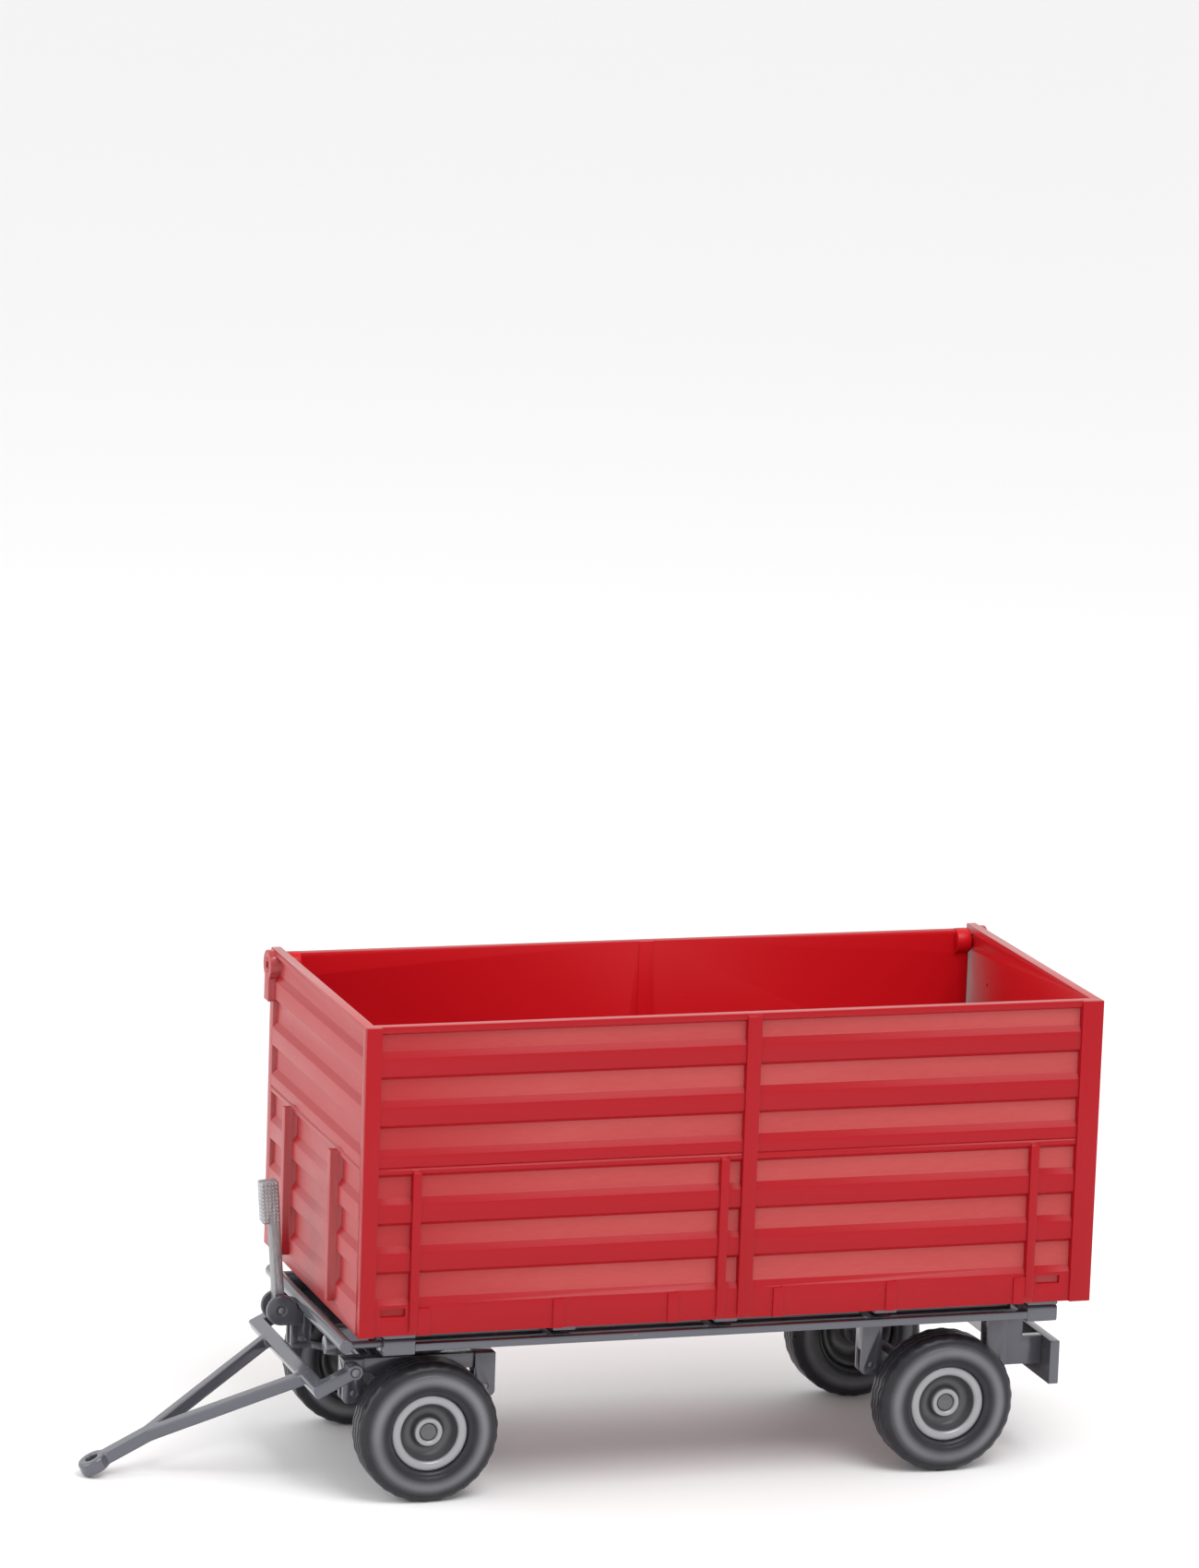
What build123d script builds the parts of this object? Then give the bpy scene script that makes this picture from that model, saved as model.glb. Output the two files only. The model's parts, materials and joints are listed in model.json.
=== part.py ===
"""Two-axle drawbar tipping trailer, a 1:32 scale model.

-X is forward, towards the towing eye. -Y is the near side, with the fixed wall. +Y is the far side, with
the top-hung flap, and the box tips towards it. Z = 0 is the ground, and the origin is the middle of the
whole model's footprint. Lengths are in millimetres.
"""
from math import asin, atan2, cos, degrees, hypot, radians, sin
import os

from build123d import *

os.makedirs("parts", exist_ok=True)

# ---------------------------------------------------------------- driving dimensions

# box body
tub_length = 165.0
tub_width = 79.0
tub_height = 67.0
floor_thickness = 2.0
skin = 1.2                  # wall thickness at the recesses
band_depth = 1.0            # how far a raised band stands out of the recess
post_depth = 0.8            # how far a post or rib stands out of the bands
foot_band = 6.6             # height of the lowest band
band_height = 3.8
band_pitch = 10.55
first_band = 14.1           # height of the first raised band above the wall's foot
slope_above = 1.5           # height of the slope above a raised band
slope_below = 0.8
top_flange = 1.4
board_height = 36.0         # the lower board's height, where its ribs end
board_groove = 0.35         # depth of the groove along the lower board's top edge
front_post = 3.4
rear_post = 4.8
centre_post = 3.2
centre_post_offset = 3.1    # from the wall's middle back to the centre post's middle
board_rib = 1.9
board_rib_inset = 11.0      # from the wall's end to the first rib
rear_rib_inset = 13.3       # from the wall's rear end to the last rib
centre_rib_gap = 2.9        # from the rib beside the centre post to that post
rib_foot_chamfer = 1.6      # height of the slope at a rib's foot
rib_head_chamfer = 0.6
lug_width = 2.3
lug_depth = 0.6             # how far a foot lug stands out of the lowest band
lug_shares = [0.266, 0.421, 0.565, 0.721]  # the lugs' places along the wall, as shares of its length
wide_lug = 2.6              # the lower lugs that stand inside the first and last ribs
wide_lug_height = 5.9
pocket_length = 5.4         # the small pockets in the lowest band at the wall's ends
pocket_low = 4.2
pocket_high = 5.9
pocket_gap = 0.8            # from a pocket to the rib beside it
end_rib_spacing = 37.6      # between the two ribs of the front and rear walls
end_rib_width = 2.2
end_rib_depth = 1.8
end_rib_foot = 3.0          # the end walls' ribs start this far above the foot

# flap
flap_gap = 0.35             # round the closed flap
flap_top_drop = 1.0         # the flap's top edge lies this far under the rim
flap_hinge_drop = 3.5       # from the rim down to the hinge axis
flap_hinge_inset = 2.1      # from the outer face in to the hinge axis
eyelet_radius = 3.3
eyelet_tail = 8.0           # from the hinge axis down to the foot of the eyelet's web
eyelet_thickness = 1.4
flap_pin_radius = 1.6
flap_pin_bore = 0.8

# wheels
wheel_radius = 15.4
tyre_width = 9.8
tread_width = 6.0
rim_radius = 8.4
press_gap = 0.02            # round what is pressed or glued in: pins, rims, tubes
rim_ring_width = 1.3
rim_ring_out = 3.9          # how far the rim's outer edge lies from the wheel's centre plane
hub_radius = 3.1
hub_out = 3.0
hub_in = 3.6
cap_radius = 1.9
cap_thickness = 1.1
cap_gap = 0.03
web_thickness = 1.2
wheelbase = 117.3
front_axle_inset = 18.2     # from the box's front to the front axle
wheel_side_gap = 0.4        # from a tyre to the spring hangers
wheel_top_gap = 1.5         # from a tyre up to the rails

# axles and springs
stub_radius = 1.2
running_gap = 0.05
axle_beam = 3.6
hub_side_gap = 0.8
spring_half_length = 14.6
spring_centre_y = 21.6
spring_width = 2.0
leaf_thickness = 0.8
leaf_count = 3
leaf_step = 3.4
spring_sag = 2.8
spring_eye_radius = 1.3
spring_pin_radius = 0.7
hanger_cheek = 1.1
hanger_slot_gap = 0.1
hanger_length = 4.6
hanger_below_eye = 2.2

# chassis
rail_height = 4.6
rail_width = 3.2
rail_lip = 1.0
rail_rear_inset = 5.0
edge_rail_height = 1.6
edge_rail_width = 2.0
edge_rail_drop = 0.5        # the edge rails lie this far under the main rails' tops
block_length = 6.9
block_front_inset = 6.4
block_rear_inset = 6.3
block_lift = 1.6            # from the rails' undersides up to the blocks'
block_above_rail = 0.6
block_width = 6.1
block_arm_inset = 0.4       # the blocks' arms above their undersides, and below the rails' tops
block_out_inset = 2.9       # from the box's side in to the block's end
cross_tube_radius = 1.5
cross_tube_inset = -1.7     # its axis lies this far ahead of the box's front
cross_tube_lift = 4.2       # its axis above the rails' undersides
cross_tube_far_reach = 26.0 # from the middle to the tube's far end; its near end meets the rod
tube_gap = 0.1              # from the cross tube back to the main rails
cross_rod_radius = 0.8      # the rod from the tube's end back to the rest block
rail_nose_radius = 2.0      # the round ends of the main rails, under the cross tube
rail_nose_length = 2.4
rail_nose_lift = 0.6        # their axis above the rails' undersides
cross_member_width = 4.0
cross_member_height = 2.6
seat_gap = 0.25             # between the box's bearers and what they rest on
bearer_width = 5.0
bearer_height = 1.25

# tipping hinge
tip_axis_inset = 5.5        # from the box's far side in to the axis
tip_floor_gap = 0.4         # from the ears up to the floor
tip_pin_radius = 1.0
tip_ear_radius = 2.4
tip_ear_thickness = 1.8
tip_knuckle_radius = 2.2
tip_side_gap = 0.3
fork_drop = 0.7             # from the rails' undersides down to the forks' feet
fork_arm_lift = 0.4         # the forks' arms above those feet

# rear plate
bumper_width = 56.0
bumper_height = 9.8
bumper_thickness = 2.2
bumper_drop = 15.3          # from the rails' undersides to its lower edge
bumper_rear_inset = 1.8
bracket_thickness = 2.2
bracket_arm_height = 6.4
bracket_leg = 4.0

# turntable and bogie
ring_outer = 12.0
ring_inner = 8.4
ring_height = 1.1
turntable_gap = 0.25
turntable_plate = 1.2
king_pin_radius = 1.8
king_pin_head = 2.8
king_pin_head_height = 1.0
bolster_height = 3.0
bogie_side_width = 3.2
bogie_side_height = 3.3
bogie_cross_thickness = 2.0

# drawbar
hinge_inset = 3.0           # from the box's front back to the drawbar's hinge
hinge_pin_radius = 0.9
hinge_boss_radius = 1.8
drawbar_reach = 56.0        # hinge to towing eye
drawbar_thickness = 2.6
leg_gap = 0.4
leg_width = 3.4
leg_length = 9.9
crossbar_width = 3.2
arm_spread = 14.8           # half the distance between the arms at the cross bar
arm_width = 3.0
stem_start = 43.0
stem_width = 3.6
eye_radius = 3.3
eye_bore = 1.4
eye_thickness = 3.0

# hand lever
lever_y = 1.3
lever_inset = -6.6          # the pivot lies this far ahead of the box's front
lever_lift = 2.7            # the pivot above the rails' undersides
lever_lean = 4.5            # degrees, forward
lever_length = 28.6
lever_width = 3.0
lever_depth = 2.3
lever_foot_radius = 2.2
lever_pin_radius = 0.8
lever_cheek = 1.2
lever_cheek_radius = 3.3
lever_cheek_gap = 0.3
grip_length = 9.4
grip_depth = 4.0

# ---------------------------------------------------------------- places worked out from them

# heights, from the ground up
spring_eye_z = wheel_radius + axle_beam / 2 + leaf_count * leaf_thickness + spring_sag
hanger_bottom_z = spring_eye_z - hanger_below_eye
rail_bottom_z = 2 * wheel_radius + wheel_top_gap
rail_top_z = rail_bottom_z + rail_height
edge_rail_top_z = rail_top_z - edge_rail_drop
block_bottom_z = rail_bottom_z + block_lift
block_top_z = rail_top_z + block_above_rail
cross_tube_z = rail_bottom_z + cross_tube_lift
tub_bottom_z = block_top_z + seat_gap + bearer_height
tip_axis_z = tub_bottom_z - tip_ear_radius - tip_floor_gap
bumper_bottom_z = rail_bottom_z - bumper_drop
lever_z = rail_bottom_z + lever_lift
bogie_top_z = rail_bottom_z - 2 * ring_height - turntable_gap
hinge_z = bogie_top_z - hinge_boss_radius - 0.05

# the drawbar lies with its eye on the ground
eye_corner = hypot(drawbar_reach + eye_radius, eye_thickness / 2)
drop = asin(hinge_z / eye_corner) - atan2(eye_thickness / 2, drawbar_reach + eye_radius)
eye_ahead = (drawbar_reach + eye_radius) * cos(drop) + eye_thickness / 2 * sin(drop) - hinge_inset

front_x = (eye_ahead - tub_length - end_rib_depth) / 2
rear_x = front_x + tub_length
half_width = tub_width / 2
top_z = tub_bottom_z + tub_height
wall = skin + band_depth + post_depth
inner_y = half_width - wall
end_thickness = skin + band_depth
centre_post_x = (front_x + rear_x) / 2 + centre_post_offset - centre_post / 2
first_rib_x = front_x + board_rib_inset
last_rib_x = rear_x - rear_rib_inset - board_rib
board_rib_places = [first_rib_x, centre_post_x - centre_rib_gap - board_rib, last_rib_x]
front_axle_x = front_x + front_axle_inset
rear_axle_x = front_axle_x + wheelbase
axle_places = {"front": front_axle_x, "rear": rear_axle_x}
sides = {"near": -1, "far": 1}

hanger_half_width = spring_width / 2 + hanger_slot_gap + hanger_cheek
hanger_face_y = spring_centre_y + hanger_half_width
track = 2 * (hanger_face_y + wheel_side_gap) + tyre_width
tip_axis_y = half_width - tip_axis_inset
block_front_x = front_x + block_front_inset
block_rear_x = rear_x - block_rear_inset - block_length
block_starts = [block_front_x, block_rear_x]
block_outer_y = half_width - block_out_inset
hinge_x = front_x + hinge_inset


def save(piece, name):
    """Label a finished piece and write it as its own file."""
    piece.part.label = name
    export_step(piece.part, f"parts/{name}.step")


def wall_outline(foot, height):
    """Section of a ribbed wall: (distance out from the inner face, height), from its foot up."""
    raised = skin + band_depth
    points = [(0, foot), (raised, foot), (raised, foot_band), (skin, foot_band + slope_above)]
    start = first_band
    while start + band_height + slope_above < tub_height - top_flange - slope_below:
        points.append((skin, start - slope_below))
        points.append((raised, start))
        if start < board_height < start + band_height:
            points.append((raised, board_height))
            points.append((raised - board_groove, board_height + board_groove))
            points.append((raised, board_height + 2 * board_groove))
        points.append((raised, start + band_height))
        points.append((skin, start + band_height + slope_above))
        start += band_pitch
    points.append((skin, tub_height - top_flange - slope_below / 2))
    points.append((raised, tub_height - top_flange))
    points.append((raised, height))
    points.append((0, height))
    return points


def rib_box(low_x, high_x, low_y, high_y, low_z, high_z, mode=Mode.ADD):
    """A block between two corners, added to the piece being built or cut out of it."""
    with Locations(((low_x + high_x) / 2, (low_y + high_y) / 2, (low_z + high_z) / 2)):
        Box(high_x - low_x, high_y - low_y, high_z - low_z, mode=mode)


def side_outline(side, foot, height):
    """The ribbed plate's section on the given side, as (y, z) points."""
    return [(side * (inner_y + out), tub_bottom_z + up) for out, up in wall_outline(foot, height)]


def rib_outline(side, low_z, high_z):
    """Side view of an upright rib with a sloping head and foot, as (y, z) points."""
    inner, band, face = (side * out for out in (inner_y, half_width - post_depth, half_width))
    return [(inner, low_z), (band, low_z), (face, low_z + rib_foot_chamfer),
            (face, high_z - rib_head_chamfer), (band, high_z), (inner, high_z)]


def side_posts(side, start_x, end_x, foot, height):
    """End posts and foot lugs of a side wall, and the pockets in its lowest band."""
    band_y = half_width - post_depth
    faces = sorted((side * inner_y, side * half_width))
    lug_faces = sorted((side * inner_y, side * (band_y + lug_depth)))
    low_z = tub_bottom_z + foot
    rib_box(start_x, front_x + front_post, *faces, low_z, tub_bottom_z + height)
    rib_box(rear_x - rear_post, end_x, *faces, low_z, tub_bottom_z + height)
    for share in lug_shares:
        place = front_x + share * tub_length
        rib_box(place - lug_width / 2, place + lug_width / 2, *lug_faces, low_z, tub_bottom_z + foot_band)
    for place in (first_rib_x + board_rib, last_rib_x - wide_lug):
        rib_box(place, place + wide_lug, *lug_faces, low_z, tub_bottom_z + wide_lug_height)
    pocket = sorted((side * (band_y - band_depth), side * half_width))
    for place in (first_rib_x - pocket_gap - pocket_length, last_rib_x + board_rib + pocket_gap):
        rib_box(place, place + pocket_length, *pocket, tub_bottom_z + pocket_low,
                tub_bottom_z + pocket_high, mode=Mode.SUBTRACT)


# ---------------------------------------------------------------- box body

flap_inner_y = inner_y + flap_gap
floor_edge_y = inner_y - flap_gap / 2
with BuildPart() as tub_floor:
    rib_box(front_x + end_thickness, rear_x - end_thickness, -inner_y, floor_edge_y, tub_bottom_z,
            tub_bottom_z + floor_thickness)
save(tub_floor, "tub_floor")

with BuildPart() as near_wall:
    with BuildSketch(Plane.YZ.offset(front_x)):
        with BuildLine():
            Polyline(side_outline(-1, 0, tub_height), close=True)
        make_face()
    extrude(amount=tub_length)
    side_posts(-1, front_x, rear_x, 0, tub_height)
    ribs = [(place, board_rib, board_height) for place in board_rib_places]
    for place, width, height in ribs + [(centre_post_x, centre_post, tub_height)]:
        with BuildSketch(Plane.YZ.offset(place)):
            with BuildLine():
                Polyline(rib_outline(-1, tub_bottom_z, tub_bottom_z + height), close=True)
            make_face()
        extrude(amount=width)
save(near_wall, "near_wall")

# the flap's axis, and the end walls' eyelets that carry it
flap_axis_y = half_width - flap_hinge_inset
flap_axis_z = top_z - flap_hinge_drop
flap_front_x = front_x + end_thickness + flap_gap
flap_rear_x = rear_x - end_thickness - flap_gap
flap_height = tub_height - flap_top_drop
end_walls = {"front_wall": (front_x, -1), "rear_wall": (rear_x, 1)}
for name, (face_x, outward) in end_walls.items():
    with BuildPart() as end_wall:
        with BuildSketch(Plane.XZ.offset(inner_y)):
            with BuildLine():
                outline = wall_outline(0, tub_height)
                inner_x = face_x - outward * end_thickness
                Polyline([(inner_x + outward * out, tub_bottom_z + up) for out, up in outline],
                         close=True)
            make_face()
        extrude(amount=-(inner_y + half_width))
        bands = sorted((inner_x, face_x))
        rib_box(*bands, half_width - wall, half_width, tub_bottom_z, top_z)
        ribs = sorted((inner_x, face_x + outward * end_rib_depth))
        for place in (-end_rib_spacing / 2, end_rib_spacing / 2):
            rib_box(*ribs, place - end_rib_width / 2, place + end_rib_width / 2,
                    tub_bottom_z + end_rib_foot, tub_bottom_z + board_height)
        eyelet_face_x = face_x + outward * eyelet_thickness
        webs = sorted((inner_x, eyelet_face_x))
        rib_box(*webs, flap_axis_y - eyelet_radius / 2, half_width, flap_axis_z - eyelet_tail, flap_axis_z)
        with Locations(((inner_x + eyelet_face_x) / 2, flap_axis_y, flap_axis_z)):
            Cylinder(eyelet_radius, end_thickness + eyelet_thickness, rotation=(0, 90, 0))
            Cylinder(flap_pin_radius + running_gap, 3 * wall, rotation=(0, 90, 0), mode=Mode.SUBTRACT)
    save(end_wall, name)

with BuildPart() as flap:
    foot = flap_gap
    with BuildSketch(Plane.YZ.offset(flap_front_x)):
        with BuildLine():
            outline = wall_outline(foot, flap_height)
            Polyline([(flap_inner_y + out, tub_bottom_z + up) for out, up in outline], close=True)
        make_face()
    extrude(amount=flap_rear_x - flap_front_x)
    flap_foot_z = tub_bottom_z + foot
    side_posts(1, flap_front_x, flap_rear_x, foot, flap_height)
    ribs = [(place, board_rib, board_height) for place in board_rib_places]
    for place, width, height in ribs + [(centre_post_x, centre_post, flap_height)]:
        with BuildSketch(Plane.YZ.offset(place)):
            with BuildLine():
                Polyline(rib_outline(1, flap_foot_z, tub_bottom_z + height), close=True)
            make_face()
        extrude(amount=width)
    for place in (flap_front_x, flap_rear_x - centre_post):
        with Locations((place + centre_post / 2, flap_axis_y, flap_axis_z)):
            Cylinder(flap_pin_radius + skin, centre_post, rotation=(0, 90, 0))
            Cylinder(flap_pin_radius + press_gap, centre_post, rotation=(0, 90, 0),
                     mode=Mode.SUBTRACT)
save(flap, "side_flap")

with BuildPart() as flap_pins:
    pin_length = end_thickness + eyelet_thickness + flap_gap + centre_post
    for outer_x, inward in ((front_x - eyelet_thickness, 1), (rear_x + eyelet_thickness, -1)):
        with Locations((outer_x + inward * pin_length / 2, flap_axis_y, flap_axis_z)):
            Cylinder(flap_pin_radius, pin_length, rotation=(0, 90, 0))
        with Locations((outer_x, flap_axis_y, flap_axis_z)):
            Cylinder(flap_pin_bore, 2 * eyelet_thickness, rotation=(0, 90, 0), mode=Mode.SUBTRACT)
save(flap_pins, "flap_hinge_pins")

# bearers under the floor: two of them carry the tipping knuckles
knuckle_length = block_length - 2 * tip_ear_thickness - 2 * tip_side_gap
bearer_bottom_z = block_top_z + seat_gap
bearer_end_y = tip_axis_y - tip_ear_radius - tip_side_gap
bearer_centres = [start + block_length / 2 for start in block_starts]
with BuildPart() as bearers:
    spacing = bearer_centres[1] - bearer_centres[0]
    for share in (0, 0.25, 0.5, 0.75, 1):
        centre = bearer_centres[0] + spacing * share
        length = block_length if share in (0, 1) else bearer_width
        rib_box(centre - length / 2, centre + length / 2, -block_outer_y, bearer_end_y,
                bearer_bottom_z, tub_bottom_z)
save(bearers, "floor_bearers")

with BuildPart() as knuckles:
    for centre in bearer_centres:
        rib_box(centre - knuckle_length / 2, centre + knuckle_length / 2,
                tip_axis_y - tip_knuckle_radius, tip_axis_y + tip_knuckle_radius, tip_axis_z,
                tub_bottom_z)
        with Locations((centre, tip_axis_y, tip_axis_z)):
            Cylinder(tip_knuckle_radius, knuckle_length, rotation=(0, 90, 0))
            Cylinder(tip_pin_radius + running_gap, knuckle_length, rotation=(0, 90, 0),
                     mode=Mode.SUBTRACT)
save(knuckles, "tipping_knuckles")

# ---------------------------------------------------------------- chassis

rail_front_x = front_x + cross_tube_inset + cross_tube_radius + tube_gap
rail_rear_x = rear_x - rail_rear_inset
plate_rear_x = front_axle_x + ring_outer + bogie_cross_thickness
for name, side in sides.items():
    centre_y = side * spring_centre_y
    with BuildPart() as main_rail:
        rib_box(rail_front_x, rail_rear_x, centre_y - rail_width / 2, centre_y + rail_width / 2,
                rail_bottom_z, rail_top_z)
        channel_y = sorted((side * (spring_centre_y - rail_width / 2 + rail_lip),
                            side * (spring_centre_y + rail_width)))
        with Locations(((rail_front_x + rail_rear_x) / 2, sum(channel_y) / 2,
                        (rail_bottom_z + rail_top_z) / 2)):
            Box(rail_rear_x - rail_front_x - 2 * block_length, channel_y[1] - channel_y[0],
                rail_top_z - rail_bottom_z - 2 * rail_lip, mode=Mode.SUBTRACT)
        with Locations((rail_front_x - rail_nose_length / 2, centre_y, rail_bottom_z + rail_nose_lift)):
            Cylinder(rail_nose_radius, rail_nose_length, rotation=(0, 90, 0))
    save(main_rail, f"main_rail_{name}")
    edge_y = sorted((side * (block_outer_y - edge_rail_width), side * block_outer_y))
    with BuildPart() as edge_rail:
        rib_box(block_front_x + block_length, block_rear_x, *edge_y,
                edge_rail_top_z - edge_rail_height, edge_rail_top_z)
    save(edge_rail, f"edge_rail_{name}")

with BuildPart() as front_tube:
    tube_middle_y = (cross_tube_far_reach - block_outer_y) / 2
    with Locations((front_x + cross_tube_inset, tube_middle_y, cross_tube_z)):
        Cylinder(cross_tube_radius, block_outer_y + cross_tube_far_reach, rotation=(90, 0, 0))
    fillet(front_tube.edges(), cross_tube_radius / 4)
    rod_length = block_front_x - front_x - cross_tube_inset
    with Locations((block_front_x - rod_length / 2, cross_tube_radius - block_outer_y, cross_tube_z)):
        Cylinder(cross_rod_radius, rod_length, rotation=(0, 90, 0))
save(front_tube, "front_cross_tube")

rail_outer_y = spring_centre_y + rail_width / 2
rail_inner_y = spring_centre_y - rail_width / 2
with BuildPart() as rest_blocks:
    for start in block_starts:
        rib_box(start, start + block_length, -block_outer_y, -(block_outer_y - block_width),
                block_bottom_z, block_top_z)
    fillet(rest_blocks.edges().filter_by(Axis.X), 0.8)
    for centre in bearer_centres:
        rib_box(centre - cross_member_width / 2, centre + cross_member_width / 2,
                -(block_outer_y - block_width), -rail_outer_y, block_bottom_z + block_arm_inset,
                rail_top_z - block_arm_inset)
save(rest_blocks, "rest_blocks")

fork_floor_z = tip_axis_z - tip_knuckle_radius - tip_side_gap
fork_foot_z = rail_bottom_z - fork_drop
with BuildPart() as hinge_forks:
    for start in block_starts:
        end = start + block_length
        centre = (start + end) / 2
        rib_box(start, end, tip_axis_y - tip_ear_radius, tip_axis_y + tip_ear_radius,
                fork_foot_z, fork_floor_z)
        rib_box(centre - cross_member_width / 2, centre + cross_member_width / 2, rail_outer_y,
                tip_axis_y - tip_ear_radius, fork_foot_z + fork_arm_lift, fork_floor_z)
        for ear in (start, end - tip_ear_thickness):
            rib_box(ear, ear + tip_ear_thickness, tip_axis_y - tip_ear_radius,
                    tip_axis_y + tip_ear_radius, fork_foot_z, tip_axis_z)
            with Locations((ear + tip_ear_thickness / 2, tip_axis_y, tip_axis_z)):
                Cylinder(tip_ear_radius, tip_ear_thickness, rotation=(0, 90, 0))
                Cylinder(tip_pin_radius + press_gap, tip_ear_thickness, rotation=(0, 90, 0),
                         mode=Mode.SUBTRACT)
save(hinge_forks, "tipping_forks")

with BuildPart() as tipping_pins:
    for start in block_starts:
        with Locations((start + block_length / 2, tip_axis_y, tip_axis_z)):
            Cylinder(tip_pin_radius, block_length, rotation=(0, 90, 0))
save(tipping_pins, "tipping_pins")

with BuildPart() as cross_members:
    for centre in (bearer_centres[0] + spacing * share for share in (0.25, 0.5, 0.75, 1)):
        rib_box(centre - cross_member_width / 2, centre + cross_member_width / 2, -rail_inner_y,
                rail_inner_y, rail_top_z - cross_member_height, rail_top_z)
save(cross_members, "cross_members")

with BuildPart() as outriggers:
    for centre in (bearer_centres[0] + spacing * share for share in (0.25, 0.5, 0.75)):
        for side in (-1, 1):
            reach = sorted((side * rail_outer_y, side * (block_outer_y - edge_rail_width)))
            rib_box(centre - cross_member_width / 2, centre + cross_member_width / 2, *reach,
                    edge_rail_top_z - edge_rail_height, edge_rail_top_z)
save(outriggers, "outriggers")

# rear plate on its two brackets, behind the rear springs
rear_hanger_x = rear_axle_x + spring_half_length + hanger_length / 2
bumper_rear_x = rear_x - bumper_rear_inset
bumper_front_x = bumper_rear_x - bumper_thickness
bumper_top_z = bumper_bottom_z + bumper_height
with BuildPart() as bumper:
    rib_box(bumper_front_x, bumper_rear_x, -bumper_width / 2, bumper_width / 2, bumper_bottom_z,
            bumper_top_z)
    fillet(bumper.edges().filter_by(Axis.X), 0.4)
save(bumper, "rear_plate")

with BuildPart() as brackets:
    for side in (-1, 1):
        centre_y = side * spring_centre_y
        bracket_y = (centre_y - bracket_thickness / 2, centre_y + bracket_thickness / 2)
        rib_box(rear_hanger_x, rear_hanger_x + bracket_leg, *bracket_y,
                bumper_top_z - bracket_arm_height, rail_bottom_z)
        rib_box(rear_hanger_x, bumper_front_x, *bracket_y, bumper_top_z - bracket_arm_height,
                bumper_top_z)
save(brackets, "rear_plate_brackets")

# ---------------------------------------------------------------- springs, hangers, axles

for name, axle_x in axle_places.items():
    hanger_top_z = bogie_top_z if name == "front" else rail_bottom_z
    with BuildPart() as hangers:
        for direction in (-1, 1):
            for side in (-1, 1):
                eye_x = axle_x + direction * spring_half_length
                centre_y = side * spring_centre_y
                rib_box(eye_x - hanger_length / 2, eye_x + hanger_length / 2,
                        centre_y - hanger_half_width, centre_y + hanger_half_width,
                        hanger_bottom_z, hanger_top_z)
        fillet(hangers.edges().filter_by(Axis.Y).group_by(Axis.Z)[0], 1.2)
        slot = spring_width + 2 * hanger_slot_gap
        slot_height = 2 * (spring_eye_z - hanger_bottom_z) + 1
        for direction in (-1, 1):
            for side in (-1, 1):
                eye_x = axle_x + direction * spring_half_length
                with Locations((eye_x, side * spring_centre_y, hanger_bottom_z + slot_height / 2)):
                    Box(2 * hanger_length, slot, slot_height, mode=Mode.SUBTRACT)
                with Locations((eye_x, side * spring_centre_y, spring_eye_z)):
                    Cylinder(spring_pin_radius + press_gap, 2 * hanger_half_width,
                             rotation=(90, 0, 0), mode=Mode.SUBTRACT)
                if name == "front" and direction == -1:
                    with Locations((hinge_x, side * spring_centre_y, hinge_z)):
                        Cylinder(hinge_pin_radius + press_gap, 2 * hanger_half_width,
                                 rotation=(90, 0, 0), mode=Mode.SUBTRACT)
    save(hangers, f"{name}_spring_hangers")

    with BuildPart() as spring_pins:
        for direction in (-1, 1):
            for side in (-1, 1):
                with Locations((axle_x + direction * spring_half_length, side * spring_centre_y,
                                spring_eye_z)):
                    Cylinder(spring_pin_radius, 2 * hanger_half_width, rotation=(90, 0, 0))
    save(spring_pins, f"{name}_spring_pins")

    # leaves are bands between arcs about one centre above the axle
    bend = (spring_half_length**2 + spring_sag**2) / (2 * spring_sag)
    bend_z = spring_eye_z - spring_sag + bend
    stack_bottom_z = bend_z - bend - leaf_thickness * leaf_count
    with BuildPart() as springs:
        for side in (-1, 1):
            centre_y = side * spring_centre_y
            for leaf in range(leaf_count):
                inner = bend + leaf * leaf_thickness
                outer = inner + leaf_thickness
                half_angle = degrees(asin((spring_half_length - leaf * leaf_step) / bend))
                with BuildSketch(Plane.XZ.offset(-centre_y - spring_width / 2)):
                    with BuildLine():
                        low = CenterArc((axle_x, bend_z), outer, 270 - half_angle, 2 * half_angle)
                        high = CenterArc((axle_x, bend_z), inner, 270 - half_angle, 2 * half_angle)
                        Line(low @ 0, high @ 0)
                        Line(low @ 1, high @ 1)
                    make_face()
                extrude(amount=spring_width)
            for direction in (-1, 1):
                with Locations((axle_x + direction * spring_half_length, centre_y, spring_eye_z)):
                    Cylinder(spring_eye_radius, spring_width, rotation=(90, 0, 0))
                    Cylinder(spring_pin_radius + press_gap, spring_width, rotation=(90, 0, 0),
                             mode=Mode.SUBTRACT)
            rib_box(axle_x - axle_beam / 2, axle_x + axle_beam / 2, centre_y - spring_width / 2,
                    centre_y + spring_width / 2, wheel_radius + axle_beam / 2, stack_bottom_z + 0.2)
    save(springs, f"{name}_springs")

    with BuildPart() as axle:
        beam_half = track / 2 - hub_in - hub_side_gap
        rib_box(axle_x - axle_beam / 2, axle_x + axle_beam / 2, -beam_half, beam_half,
                wheel_radius - axle_beam / 2, wheel_radius + axle_beam / 2)
        with Locations((axle_x, 0, wheel_radius)):
            Cylinder(stub_radius, track + 2 * (hub_out - cap_thickness - seat_gap), rotation=(90, 0, 0))
    save(axle, f"{name}_axle")

# ---------------------------------------------------------------- turntable and bogie

ring_top_z = rail_bottom_z
with BuildPart() as upper_ring:
    with Locations((front_axle_x, 0, ring_top_z - ring_height / 2)):
        Cylinder(ring_outer, ring_height)
        Cylinder(ring_inner, ring_height, mode=Mode.SUBTRACT)
save(upper_ring, "upper_ring")

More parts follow.
